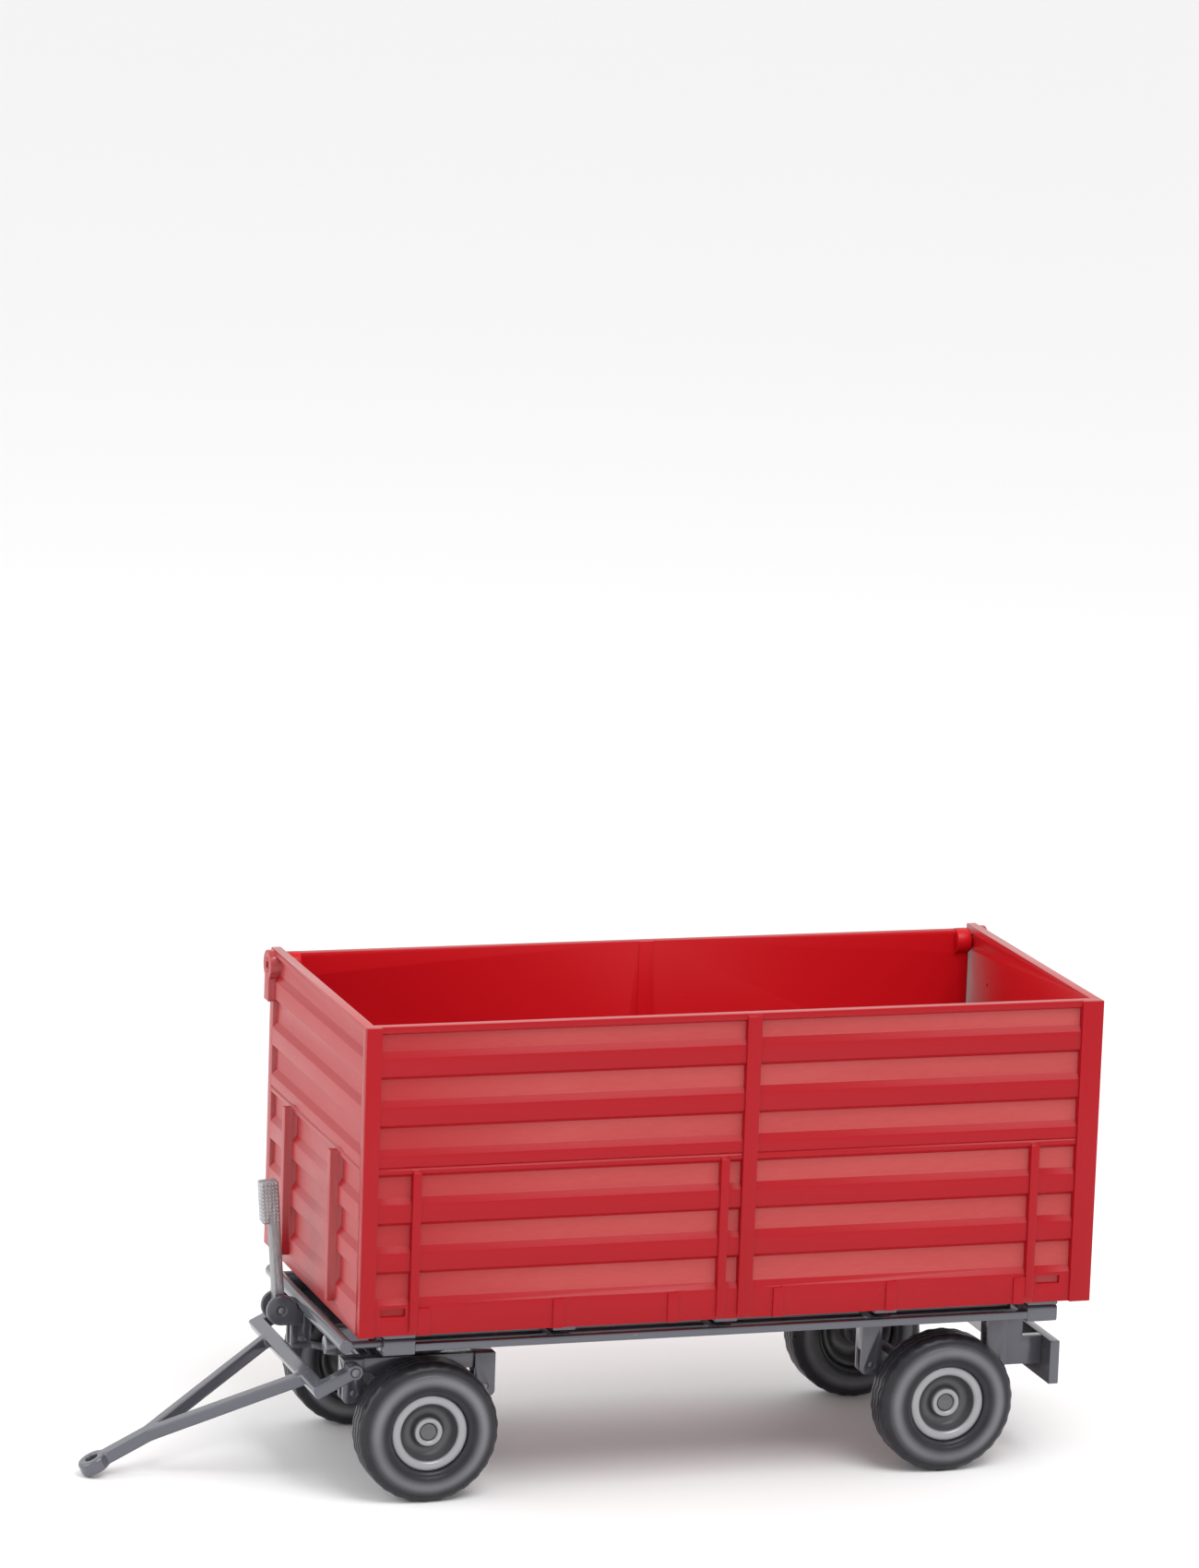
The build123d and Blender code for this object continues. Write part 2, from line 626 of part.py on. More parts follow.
with BuildPart() as lower_ring:
    with Locations((front_axle_x, 0, bogie_top_z + ring_height / 2)):
        Cylinder(ring_outer, ring_height)
        Cylinder(ring_inner, ring_height, mode=Mode.SUBTRACT)
save(lower_ring, "lower_ring")

with BuildPart() as plate:
    rib_box(rail_front_x, plate_rear_x, -rail_inner_y, rail_inner_y, ring_top_z,
            ring_top_z + turntable_plate)
    with Locations((front_axle_x, 0, ring_top_z)):
        Cylinder(king_pin_radius + press_gap, 4 * turntable_plate, mode=Mode.SUBTRACT)
save(plate, "turntable_plate")

bolster_bottom_z = bogie_top_z - bolster_height
with BuildPart() as king_pin:
    pin_bottom_z = bolster_bottom_z - seat_gap
    pin_top_z = ring_top_z + turntable_plate
    with Locations((front_axle_x, 0, (pin_bottom_z + pin_top_z) / 2)):
        Cylinder(king_pin_radius, pin_top_z - pin_bottom_z)
    with Locations((front_axle_x, 0, pin_bottom_z - king_pin_head_height / 2)):
        Cylinder(king_pin_head, king_pin_head_height)
save(king_pin, "king_pin")

bogie_front_x = front_axle_x - spring_half_length + hanger_length / 2
bogie_rear_x = front_axle_x + spring_half_length - hanger_length / 2
bogie_inner_y = spring_centre_y - bogie_side_width / 2
for name, side in sides.items():
    centre_y = side * spring_centre_y
    with BuildPart() as bogie_side:
        rib_box(bogie_front_x, bogie_rear_x, centre_y - bogie_side_width / 2,
                centre_y + bogie_side_width / 2, bogie_top_z - bogie_side_height, bogie_top_z)
    save(bogie_side, f"bogie_side_{name}")

with BuildPart() as bolster:
    rib_box(front_axle_x - ring_inner, front_axle_x + ring_inner, -bogie_inner_y, bogie_inner_y,
            bolster_bottom_z, bogie_top_z)
    with Locations((front_axle_x, 0, bogie_top_z)):
        Cylinder(king_pin_radius + running_gap, 4 * bolster_height, mode=Mode.SUBTRACT)
save(bolster, "bogie_bolster")

with BuildPart() as bogie_plates:
    for place in (bogie_front_x, bogie_rear_x - bogie_cross_thickness):
        rib_box(place, place + bogie_cross_thickness, -bogie_inner_y, bogie_inner_y,
                bogie_top_z - bogie_side_height, bogie_top_z)
save(bogie_plates, "bogie_cross_plates")

# ---------------------------------------------------------------- drawbar

leg_inner_y = hanger_face_y + leg_gap
leg_outer_y = leg_inner_y + leg_width
with BuildPart() as hinge_pins:
    inner_end = spring_centre_y - hanger_half_width
    for side in (-1, 1):
        with Locations((hinge_x, side * (inner_end + leg_outer_y) / 2, hinge_z)):
            Cylinder(hinge_pin_radius, leg_outer_y - inner_end, rotation=(90, 0, 0))
save(hinge_pins, "drawbar_pins")

# the drawbar's own plane: its x runs from the hinge down to the eye
drawbar_plane = Plane(origin=(hinge_x, 0, hinge_z), x_dir=(-cos(drop), 0, -sin(drop)),
                      z_dir=(-sin(drop), 0, cos(drop)))
crossbar_start = leg_length - crossbar_width
for name, side in sides.items():
    leg_plane = Plane(origin=(hinge_x, side * leg_outer_y, hinge_z), x_dir=drawbar_plane.x_dir,
                      z_dir=(0, side, 0))
    with BuildPart() as leg:
        with BuildSketch(leg_plane):
            Circle(hinge_boss_radius)
            with Locations((crossbar_start / 2, 0)):
                Rectangle(crossbar_start, drawbar_thickness)
            Circle(hinge_pin_radius + running_gap, mode=Mode.SUBTRACT)
        extrude(amount=-leg_width)
    save(leg, f"drawbar_leg_{name}")

with BuildPart() as crossbar:
    with BuildSketch(drawbar_plane):
        with Locations((crossbar_start + crossbar_width / 2, 0)):
            Rectangle(crossbar_width, 2 * leg_outer_y)
    extrude(amount=drawbar_thickness / 2, both=True)
    fillet(crossbar.edges().filter_by(Axis.Y), 0.5)
save(crossbar, "drawbar_crossbar")

for name, side in sides.items():
    local_side = -side
    with BuildPart() as arm:
        with BuildSketch(drawbar_plane):
            inside = local_side * (arm_spread - arm_width / 2)
            outside = local_side * (arm_spread + arm_width / 2)
            with BuildLine():
                Polyline((leg_length, inside), (leg_length, outside),
                         (stem_start, local_side * stem_width / 2), (stem_start, 0),
                         (stem_start - arm_width, 0), close=True)
            make_face()
        extrude(amount=drawbar_thickness / 2, both=True)
    save(arm, f"drawbar_arm_{name}")

with BuildPart() as stem:
    stem_end = drawbar_reach - (eye_radius**2 - (stem_width / 2) ** 2) ** 0.5
    with BuildSketch(drawbar_plane):
        with Locations(((stem_start + drawbar_reach) / 2, 0)):
            Rectangle(drawbar_reach - stem_start, stem_width)
        with Locations((drawbar_reach, 0)):
            Circle(eye_radius, mode=Mode.SUBTRACT)
    extrude(amount=drawbar_thickness / 2, both=True)
save(stem, "drawbar_stem")

with BuildPart() as eye:
    with BuildSketch(drawbar_plane):
        with Locations((drawbar_reach, 0)):
            Circle(eye_radius)
            Circle(eye_bore, mode=Mode.SUBTRACT)
    extrude(amount=eye_thickness / 2, both=True)
    fillet(eye.edges().filter_by(GeomType.CIRCLE).sort_by(SortBy.RADIUS)[-2:], 0.5)
save(eye, "towing_eye")

# ---------------------------------------------------------------- hand lever

lever_x = front_x + lever_inset
cross_tube_x = front_x + cross_tube_inset
cheek_inner = lever_width / 2 + lever_cheek_gap
cheek_outer = cheek_inner + lever_cheek
lever_base_x = lever_x + lever_foot_radius + lever_cheek_gap
cheek_span = (lever_z - lever_cheek_radius, lever_z + lever_cheek_radius / 2)
with BuildPart() as lever_bracket:
    for side in (-1, 1):
        cheek_y = lever_y + side * (cheek_inner + lever_cheek / 2)
        with Locations((lever_x, cheek_y, lever_z)):
            Cylinder(lever_cheek_radius, lever_cheek, rotation=(90, 0, 0))
        rib_box(lever_x, cross_tube_x, cheek_y - lever_cheek / 2, cheek_y + lever_cheek / 2, *cheek_span)
    rib_box(lever_base_x, cross_tube_x, lever_y - cheek_outer, lever_y + cheek_outer, *cheek_span)
    with Locations((cross_tube_x, lever_y, cross_tube_z)):
        Cylinder(cross_tube_radius + press_gap, 4 * cheek_outer, rotation=(90, 0, 0),
                 mode=Mode.SUBTRACT)
    with Locations((lever_x, lever_y, lever_z)):
        Cylinder(lever_pin_radius + press_gap, 4 * cheek_outer, rotation=(90, 0, 0),
                 mode=Mode.SUBTRACT)
save(lever_bracket, "lever_bracket")

with BuildPart() as lever_pin:
    with Locations((lever_x, lever_y, lever_z)):
        Cylinder(lever_pin_radius, 2 * cheek_outer, rotation=(90, 0, 0))
save(lever_pin, "lever_pin")

lean = radians(lever_lean)
lever_plane = Plane(origin=(lever_x, lever_y - lever_width / 2, lever_z),
                    x_dir=(cos(lean), 0, sin(lean)), z_dir=(0, -1, 0))
with BuildPart() as lever:
    with BuildSketch(lever_plane):
        Circle(lever_foot_radius)
        with Locations((0, lever_length / 2)):
            Rectangle(lever_depth, lever_length)
        with Locations(((lever_depth - grip_depth) / 2, lever_length - grip_length / 2)):
            RectangleRounded(grip_depth, grip_length, 0.5)
        Circle(lever_pin_radius + running_gap, mode=Mode.SUBTRACT)
    extrude(amount=-lever_width)
save(lever, "hand_lever")

# ---------------------------------------------------------------- wheels

for axle_name, axle_x in axle_places.items():
    for side_name, side in sides.items():
        hub_y = side * track / 2
        spin_axis = Axis((axle_x, hub_y, wheel_radius), (0, 1, 0))
        wheel_plane = Plane(origin=(axle_x, hub_y, wheel_radius), x_dir=(1, 0, 0), z_dir=(0, 0, side))
        half = tyre_width / 2
        bead = rim_radius + press_gap
        with BuildPart() as tyre:
            with BuildSketch(wheel_plane):
                with BuildLine():
                    shoulder = wheel_radius - 0.5
                    Polyline((bead, half - 0.9), (bead, 0.9 - half))
                    ThreePointArc((bead, 0.9 - half), ((bead + shoulder) / 2, -half),
                                  (shoulder, -tread_width / 2 - 0.6))
                    Polyline((shoulder, -tread_width / 2 - 0.6), (wheel_radius, -tread_width / 2),
                             (wheel_radius, tread_width / 2), (shoulder, tread_width / 2 + 0.6))
                    ThreePointArc((shoulder, tread_width / 2 + 0.6), ((bead + shoulder) / 2, half),
                                  (bead, half - 0.9))
                make_face()
            revolve(axis=spin_axis)
        save(tyre, f"tyre_{axle_name}_{side_name}")
        with BuildPart() as rim:
            with BuildSketch(wheel_plane):
                with BuildLine():
                    bore = stub_radius + running_gap
                    counterbore = cap_radius + cap_gap
                    ring_inside = rim_radius - rim_ring_width
                    Polyline((bore, -hub_in), (hub_radius, -hub_in), (hub_radius, -web_thickness / 2),
                             (ring_inside - 0.6, -web_thickness / 2), (ring_inside, -rim_ring_out),
                             (rim_radius, -rim_ring_out), (rim_radius, rim_ring_out),
                             (ring_inside, rim_ring_out), (ring_inside - 0.8, web_thickness / 2),
                             (hub_radius, web_thickness / 2), (hub_radius, hub_out),
                             (counterbore, hub_out), (counterbore, hub_out - cap_thickness),
                             (bore, hub_out - cap_thickness), close=True)
                make_face()
            revolve(axis=spin_axis)
        save(rim, f"rim_{axle_name}_{side_name}")
        with BuildPart() as cap:
            with Locations((axle_x, hub_y + side * (hub_out - cap_thickness / 2), wheel_radius)):
                Cylinder(cap_radius, cap_thickness, rotation=(90, 0, 0))
            fillet(cap.edges().sort_by(Axis.Y)[-1 if side > 0 else 0], 0.3)
        save(cap, f"cap_{axle_name}_{side_name}")
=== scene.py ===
"""Drawbar tipping trailer, a scale model: the pieces that are seen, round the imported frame."""
import json
import math

import bpy
from mathutils import Matrix, Vector


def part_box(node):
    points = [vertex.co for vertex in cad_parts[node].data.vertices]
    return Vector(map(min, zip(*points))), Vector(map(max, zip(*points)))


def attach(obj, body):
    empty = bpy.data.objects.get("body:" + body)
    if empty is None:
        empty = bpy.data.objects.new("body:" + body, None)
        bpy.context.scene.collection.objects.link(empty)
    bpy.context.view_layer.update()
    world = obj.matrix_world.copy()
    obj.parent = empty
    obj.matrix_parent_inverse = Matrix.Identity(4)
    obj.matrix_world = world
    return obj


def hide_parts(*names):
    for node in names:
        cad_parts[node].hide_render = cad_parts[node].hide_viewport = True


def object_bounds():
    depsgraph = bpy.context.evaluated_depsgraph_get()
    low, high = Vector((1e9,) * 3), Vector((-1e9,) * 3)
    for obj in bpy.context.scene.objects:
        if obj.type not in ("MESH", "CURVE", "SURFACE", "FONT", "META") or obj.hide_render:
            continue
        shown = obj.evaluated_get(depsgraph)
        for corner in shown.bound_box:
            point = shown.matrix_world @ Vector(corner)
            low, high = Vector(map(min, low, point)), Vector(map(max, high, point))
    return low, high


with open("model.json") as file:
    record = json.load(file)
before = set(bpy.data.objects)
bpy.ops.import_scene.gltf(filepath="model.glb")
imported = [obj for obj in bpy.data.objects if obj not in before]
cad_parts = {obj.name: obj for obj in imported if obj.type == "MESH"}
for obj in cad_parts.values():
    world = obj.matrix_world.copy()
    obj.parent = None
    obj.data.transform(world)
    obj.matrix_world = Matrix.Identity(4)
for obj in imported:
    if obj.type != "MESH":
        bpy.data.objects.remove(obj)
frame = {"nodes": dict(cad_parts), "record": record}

bl_info = {
    "name": "Drawbar Tipping Trailer",
    "version": (1, 0, 0),
    "blender": (4, 5, 0),
    "location": "3D View > Sidebar > Trailer",
    "description": "Builds the moulded box, chassis, drawbar, lever and wheels of a tipping trailer model",
    "category": "Object",
}

MM = 0.001
MERGE_WITHIN = 2e-6         # metres between points that are one
CAD_LOW, CAD_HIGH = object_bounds()
BOX_LOW, BOX_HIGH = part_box("near_wall")
SIDE_RECESS = 1.8 * MM      # from a side wall's posts in to its recesses
END_RECESS = 1.0 * MM       # from an end wall's bands in to its recesses
BOX_LENGTH = BOX_HIGH.x - BOX_LOW.x
BOX_MIDDLE_X = (BOX_LOW.x + BOX_HIGH.x) / 2
RIM_BAND = 0.3 * MM         # how far down from the box's top its rim reaches
INNER_HALF_WIDTH = -BOX_LOW.y - SIDE_RECESS - 0.5 * MM
INNER_HALF_LENGTH = BOX_LENGTH / 2 - 1.5 * MM
# The tyres' painted sheen is a lighter ring round the bulge's radius, reaching this far either side.
BULGE_RADIUS = 11.9 * MM    # from a wheel's centre to the bulge of its tyre's side wall
PAINTED_SHEEN_WIDTH = 2.0 * MM
AXLES = ("front", "rear")
SIDES = {"near": -1, "far": 1}


# ---------------------------------------------------------------- shader toolkit

class Value:
    """A number on a shader socket. Python's own operators add Math nodes."""

    def __init__(self, finish, socket):
        self.finish = finish
        self.socket = socket

    def _math(self, operation, *terms):
        """One Math node on these terms."""
        inputs = {i: term for i, term in enumerate(terms)}
        return self.finish.node("ShaderNodeMath", {"operation": operation}, inputs)

    def __add__(self, other):
        return self._math("ADD", self, other)

    def __sub__(self, other):
        return self._math("SUBTRACT", self, other)

    def __mul__(self, other):
        return self._math("MULTIPLY", self, other)

    def __truediv__(self, other):
        return self._math("DIVIDE", self, other)

    def __pow__(self, other):
        return self._math("POWER", self, other)

    def __gt__(self, other):
        return self._math("GREATER_THAN", self, other)

    def __lt__(self, other):
        return self._math("LESS_THAN", self, other)

    def __abs__(self):
        return self._math("ABSOLUTE", self)

    def __radd__(self, other):
        return self._math("ADD", other, self)

    def __rsub__(self, other):
        return self._math("SUBTRACT", other, self)

    def __rmul__(self, other):
        return self._math("MULTIPLY", other, self)

    def clamped(self):
        """The same number, held between 0 and 1."""
        return self._math("MINIMUM", self._math("MAXIMUM", self, 0.0), 1.0)


class Finish:
    """A material under construction, with its Principled shader."""

    def __init__(self, name):
        self.material = bpy.data.materials.new(name)
        self.material.use_nodes = True
        self.tree = self.material.node_tree
        self.shader = self.tree.nodes["Principled BSDF"]

    def node(self, kind, settings=None, inputs=None, output=0):
        """Add a node, set its settings, then its sockets, and return one output."""
        made = self.tree.nodes.new(kind)
        for key, setting in (settings or {}).items():
            if key == "stops":
                ramp = made.color_ramp
                while len(ramp.elements) < len(setting):
                    ramp.elements.new(0.5)
                for element, (place, colour) in zip(ramp.elements, setting):
                    element.position = place
                    element.color = colour
            else:
                setattr(made, key, setting)
        for key, term in (inputs or {}).items():
            self.set(made.inputs[key], term)
        return Value(self, made.outputs[output])

    def set(self, socket, term):
        """Link a Value to a socket, or set a plain number, vector or colour on it."""
        if isinstance(term, Value):
            self.tree.links.new(term.socket, socket)
        else:
            socket.default_value = term

    def place(self):
        """Object coordinates: metres in the trailer's frame."""
        return self.node("ShaderNodeTexCoord", output="Object")

    def axes(self, kind="Object"):
        """The x, y and z of a point in metres, or of its surface's direction."""
        split = self.tree.nodes.new("ShaderNodeSeparateXYZ")
        self.tree.links.new(self.node("ShaderNodeTexCoord", output=kind).socket, split.inputs[0])
        return [Value(self, split.outputs[axis]) for axis in "XYZ"]

    def noise(self, scale, detail=3.0, roughness=0.5, stretch=(1, 1, 1)):
        """Noise with this many cells to the metre, stretched by axis."""
        mapped = self.node("ShaderNodeMapping", inputs={"Vector": self.place(), "Scale": stretch})
        return self.node("ShaderNodeTexNoise", inputs={
            "Vector": mapped, "Scale": scale, "Detail": detail, "Roughness": roughness})

    def blend(self, factor, low, high):
        """A colour between two, by a factor from 0 to 1."""
        made = self.tree.nodes.new("ShaderNodeMix")
        made.data_type = "RGBA"
        self.set(made.inputs["Factor"], factor)
        self.set(made.inputs[6], low)
        self.set(made.inputs[7], high)
        return Value(self, made.outputs[2])

    def sharp_edge_mask(self, start, end):
        """1 on sharp outer edges and 0 on flats."""
        pointed = self.node("ShaderNodeNewGeometry", output="Pointiness")
        return ((pointed - start) * (1 / (end - start))).clamped()

    def surface(self, **terms):
        """Set the Principled shader's sockets by name, with underscores for spaces."""
        for key, term in terms.items():
            self.set(self.shader.inputs[key.replace("_", " ")], term)

    def bump(self, height, strength, distance):
        """Bump the surface by a height."""
        self.set(self.shader.inputs["Normal"], self.node("ShaderNodeBump", inputs={
            "Height": height, "Strength": strength, "Distance": distance}))


def shade(colour, factor):
    """A colour made lighter or darker."""
    return (colour[0] * factor, colour[1] * factor, colour[2] * factor, 1)


# ---------------------------------------------------------------- finishes

def red_plastic(name, recess_axis=None, recess_range=(0, 0), centre=0.0, gloss=1.0, specular=0.2,
                paleness=None):
    """Glossy moulded red plastic, grainier where a wall's flat outer faces lie in a range, with light
    painted in: a pale mottled reflection on those faces, a paler highlight on the rim's top and a brighter
    red on the inner faces.
    """
    look = bpy.context.scene.trailer_look
    made = Finish(name)
    cloud = made.noise(14, 2.0)
    grain = made.noise(1500, 3.0, stretch=(0.3, 1, 1))
    flow = made.noise(90, 3.0, stretch=(0.25, 1, 1))
    base = made.blend(cloud, shade(look.red, 0.93), shade(look.red, 1.07))
    rough = 0.24 * gloss + flow * 0.1
    height = made.noise(420, 2.0) * 0.6 + grain * 0.1
    x, y, z = made.axes()
    facing = made.axes("Normal")
    # Painted highlight: the box's up-facing top faces are blended towards the paler red, as light
    # reflected off the rim.
    rim = (facing[2] > 0.9) * (z > BOX_HIGH.z - RIM_BAND)
    base = made.blend(rim * 0.4, base, (*look.reflection_red, 1))
    # Painted light: the box's inner faces take a brighter red, standing for the light that falls inside
    # the box.
    inside = ((abs(y) < INNER_HALF_WIDTH) * (abs(x - BOX_MIDDLE_X) < INNER_HALF_LENGTH)
              * (z > BOX_LOW.z) * (z < BOX_HIGH.z - RIM_BAND))
    base = made.blend(inside, base, (*look.inner_lit_red, 1))
    if recess_axis is not None:
        out = abs((x, y, z)[recess_axis] - centre)
        flat = abs(facing[recess_axis]) > 0.9
        recess = (out > recess_range[0]) * (out < recess_range[1]) * flat
        # Painted reflection: the recesses' flat faces are blended towards the paler red in mottled
        # patches, weaker near the front end, as light reflected off the glossy walls. Their grain also
        # roughens and bumps them.
        reflection_patches = made.noise(25, 2.0, stretch=(0.5, 1, 3))
        pale = recess * (look.recess_paleness if paleness is None else paleness)
        along = (x - BOX_LOW.x) / BOX_LENGTH
        fade = 0.4 + 0.6 * (5 * along - 0.3).clamped()
        painted_reflection = pale * fade * (0.22 + 0.3 * grain + 1.0 * reflection_patches)
        base = made.blend(painted_reflection.clamped(), base, (*look.reflection_red, 1))
        rough = rough + recess * (0.06 + 0.12 * grain)
        height = height + recess * grain * 0.7
    made.surface(Base_Color=base, Roughness=rough, IOR=1.5, Specular_IOR_Level=specular,
                 Subsurface_Weight=0.03, Subsurface_Scale=0.001)
    made.bump(height, 0.12, 0.0002)
    return made.material


def chassis_paint(name, painted_light_factor=1.0):
    """Blue-grey gloss paint over die-cast metal. A factor paints a copy lighter, as light, or darker, as
    shade.
    """
    look = bpy.context.scene.trailer_look
    made = Finish(name)
    cloud = made.noise(45, 3.0)
    cast = made.noise(700, 3.0)
    chips = (made.noise(380, 5.0, 0.7) - 0.66) * 9
    # Painted light and shade: the factor makes this copy of the grey paint lighter or darker than the rest
    # of the chassis.
    base = made.blend(cloud, shade(look.chassis, 0.92 * painted_light_factor), shade(look.chassis, 1.08 * painted_light_factor))
    base = made.blend(chips.clamped() * 0.35, base, (0.4, 0.4, 0.43, 1))
    made.surface(Base_Color=base, Roughness=0.16 + cast * 0.12, Metallic=0.35, Coat_Weight=0.4,
                 Coat_Roughness=0.08)
    made.bump(cast * 0.6 + cloud * 0.4, 0.1, 0.0002)
    return made.material


def tyre_rubber(name, centre):
    """Black tyre plastic, dull on its edges, lightened by dust in patches, with painted glints on its
    sharp edges and a painted sheen round the bulge of its side wall.
    """
    made = Finish(name)
    x, _, z = made.axes()
    reach = ((x - centre.x) ** 2 + (z - centre.z) ** 2) ** 0.5
    # Painted sheen: a lighter grey ring round the bulge of the side wall, standing for light reflected
    # there.
    ring = (1 - abs(reach - BULGE_RADIUS) / PAINTED_SHEEN_WIDTH).clamped()
    ring = ring * ring * (3 - 2 * ring)
    dust = made.noise(240, 4.0)
    fine = made.noise(3200, 2.0)
    # Painted glints: sharp outer edges are lightened as highlights, added to the real dust. The edges are
    # also rougher.
    painted_glint = made.sharp_edge_mask(0.52, 0.6)
    dust_and_glint = (dust * 0.5 + painted_glint * 0.6).clamped()
    base = made.blend(dust_and_glint, (0.009, 0.009, 0.012, 1), (0.045, 0.045, 0.052, 1))
    base = made.blend(ring * (0.35 + 0.7 * made.noise(60, 2.0)), base, (0.2, 0.2, 0.215, 1))
    made.surface(Base_Color=base, Roughness=0.24 + dust * 0.12 + painted_glint * 0.1, Specular_IOR_Level=0.28)
    made.bump(fine * 0.5 + dust * 0.5, 0.18, 0.0001)
    return made.material


def rim_plastic(name, colour, metal):
    """Silver-grey plastic with faint turning rings."""
    made = Finish(name)
    cloud = made.noise(180, 3.0)
    base = made.blend(cloud, shade(colour, 0.88), shade(colour, 1.1))
    made.surface(Base_Color=base, Roughness=0.3 + cloud * 0.14, Metallic=metal)
    made.bump(made.noise(2400, 2.0) + cloud, 0.12, 0.0001)
    return made.material


def bare_zinc(name):
    """Unpainted die-cast zinc: pitted, with darker hollows."""
    made = Finish(name)
    pits = made.noise(1500, 5.0, 0.65)
    streak = made.noise(500, 4.0, 0.6, stretch=(1, 1, 0.3))
    worn = made.sharp_edge_mask(0.5, 0.62)
    base = made.blend((streak * 0.8 + worn * 0.5).clamped(), (0.13, 0.13, 0.14, 1), (0.5, 0.5, 0.51, 1))
    made.surface(Base_Color=base, Roughness=0.3 + pits * 0.25, Metallic=0.85)
    made.bump(pits + streak * 0.6, 0.5, 0.0003)
    return made.material


def dark_steel(name):
    """Dull oiled steel for springs and pins."""
    made = Finish(name)
    brushed = made.noise(700, 4.0, stretch=(0.15, 1, 1))
    base = made.blend(brushed, (0.1, 0.1, 0.105, 1), (0.28, 0.28, 0.29, 1))
    made.surface(Base_Color=base, Roughness=0.3 + brushed * 0.2, Metallic=0.8)
    made.bump(brushed, 0.2, 0.0001)
    return made.material


def floor_paint(name):
    """Plain pale floor."""
    look = bpy.context.scene.trailer_look
    made = Finish(name)
    made.surface(Base_Color=(look.floor_white,) * 3 + (1,), Roughness=0.75, Specular_IOR_Level=0.2)
    return made.material


# ---------------------------------------------------------------- modelling helpers

def alone(piece=None):
    """Leave edit mode, deselect everything and make this piece the only selected one."""
    if bpy.context.object and bpy.context.object.mode != "OBJECT":
        bpy.ops.object.mode_set(mode="OBJECT")
    bpy.ops.object.select_all(action="DESELECT")
    if piece is not None:
        piece.select_set(True)
        bpy.context.view_layer.objects.active = piece


def place_in_mesh(piece):
    """Put the piece's place, turn and scale into its mesh."""
    alone(piece)
    bpy.ops.object.transform_apply(location=True, rotation=True, scale=True)


def apply_all(piece):
    """Apply the piece's modifiers in order."""
    alone(piece)
    for modifier in list(piece.modifiers):
        bpy.ops.object.modifier_apply(modifier=modifier.name)


def soften(piece, width, segments=2, angle=32, smooth=40):
    """Round the sharp edges by this many millimetres and smooth the shading."""
    bevel = piece.modifiers.new("edges", "BEVEL")
    bevel.width = width * MM
    bevel.segments = segments
    bevel.limit_method = "ANGLE"
    bevel.angle_limit = math.radians(angle)
    bevel.use_clamp_overlap = False
    bevel.miter_outer = "MITER_ARC"
    apply_all(piece)
    bpy.ops.object.shade_smooth_by_angle(angle=math.radians(smooth))


def finish_piece(piece, name, body, slot, material, replaces=()):
    """Name a piece, give it its material and tie it to its body."""
    piece.name = name
    piece.data.name = name
    if material is not None:
        piece.data.materials.clear()
        piece.data.materials.append(material)
    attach(piece, body)
    if replaces:
        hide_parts(*replaces)
    return piece


def mesh_copy(piece, name):
    """A new object with its own copy of a piece's mesh."""
    twin = bpy.data.objects.new(name, piece.data.copy())
    bpy.context.scene.collection.objects.link(twin)
    return twin


def merge(piece, join_flats=False):
    """Merge the doubled points of a piece copied from the CAD, and join its flat faces if asked."""
    alone(piece)
    bpy.ops.object.mode_set(mode="EDIT")
    bpy.ops.mesh.select_all(action="SELECT")
    bpy.ops.mesh.customdata_custom_splitnormals_clear()
    bpy.ops.mesh.remove_doubles(threshold=MERGE_WITHIN)
    if join_flats:
        bpy.ops.mesh.dissolve_limited(angle_limit=math.radians(1.5))
    bpy.ops.object.mode_set(mode="OBJECT")


def rounded_copy(node, width, segments=2):
    """A copy of a CAD node's mesh, merged, its flats joined and its edges rounded."""
    piece = mesh_copy(frame["nodes"][node], node + "_finished")
    merge(piece, join_flats=True)
    soften(piece, width, segments)
    return piece


def joined(pieces):
    """Join several meshes into the first."""
    alone()
    for piece in pieces:
        piece.select_set(True)
    bpy.context.view_layer.objects.active = pieces[0]
    bpy.ops.object.join()
    return pieces[0]


def cast_copy(nodes, grain, rounds):
    """Several CAD nodes as one casting, remeshed in cells of this many millimetres and smoothed."""
    casting = joined([mesh_copy(frame["nodes"][node], node + "_copy") for node in nodes])
    merge(casting)
    cells = casting.modifiers.new("cells", "REMESH")
    cells.mode = "VOXEL"
    cells.voxel_size = grain * MM
    flow = casting.modifiers.new("flow", "SMOOTH")
    flow.factor = 0.5
    flow.iterations = rounds
    apply_all(casting)
    bpy.ops.object.shade_smooth_by_angle(angle=math.radians(70))
    return casting


def body_of_node(node):
    """The body that a CAD node rides on."""
    bodies = frame["record"]["behaviour"]["bodies"]
    return next(body for body, members in bodies.items() if node in members)


def slot_of_node(node):
    """The record's material slot of a CAD node."""
    return next(part["material_slot"] for part in frame["record"]["subparts"] if part["node"] == node)


def finish_nodes(nodes, width, material, segments=2):
    """Round each CAD node in a list and let the rounded piece stand for it."""
    for node in nodes:
        piece = rounded_copy(node, width, segments)
        finish_piece(piece, node + "_finished", body_of_node(node), slot_of_node(node), material, [node])


def centre_of(node):
    """The middle of a CAD node's box."""
    low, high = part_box(node)
    return (low + high) / 2


